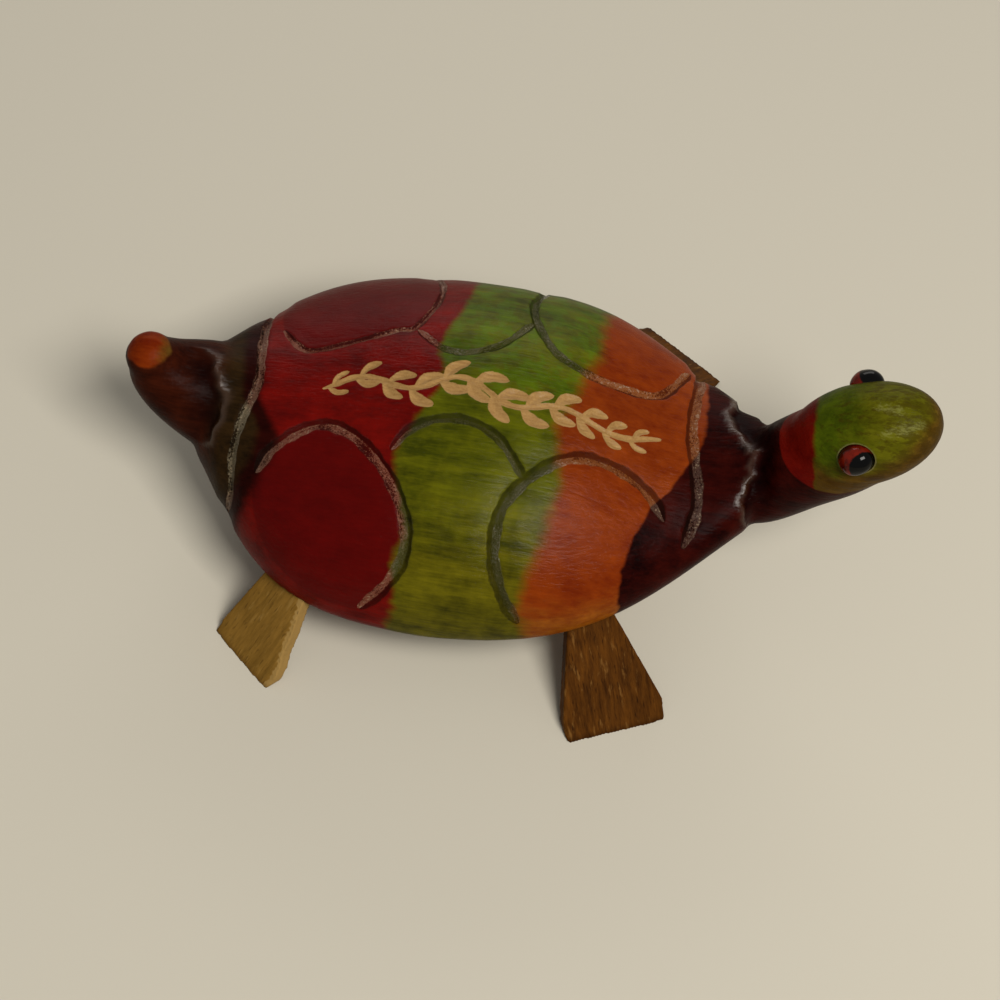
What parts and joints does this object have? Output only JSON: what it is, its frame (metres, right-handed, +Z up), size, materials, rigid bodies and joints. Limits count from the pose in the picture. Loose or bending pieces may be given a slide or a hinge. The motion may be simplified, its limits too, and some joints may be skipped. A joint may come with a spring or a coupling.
{
  "type": "turtle figurine",
  "caption": "Hand-carved wooden turtle ornament with a stained shell, an upturned tail and a long raised neck, standing on slat legs.",
  "frame": {"origin": "on the floor, at the middle of the overall length, in the plane of symmetry of the carved body", "axes": "+X from the tail to the nose, +Y to the turtle's left, +Z up"},
  "size_m": [0.13, 0.0846, 0.0534],
  "materials": {
    "painted_wood": "transparent red, green and orange stain under gloss varnish, carved grooves",
    "dark_wood": "dark brown stained slat, satin",
    "pale_wood": "plain tan slat with one rough split edge, matt",
    "seed": "hard polished red seed with a black spot"
  },
  "bodies": {
    "root": {"carved_body": "painted_wood", "front_right_leg": "dark_wood", "front_left_leg": "dark_wood", "rear_right_leg": "pale_wood", "rear_left_leg": "pale_wood", "right_eye_seed": "seed", "left_eye_seed": "seed"}
  },
  "joints": []
}
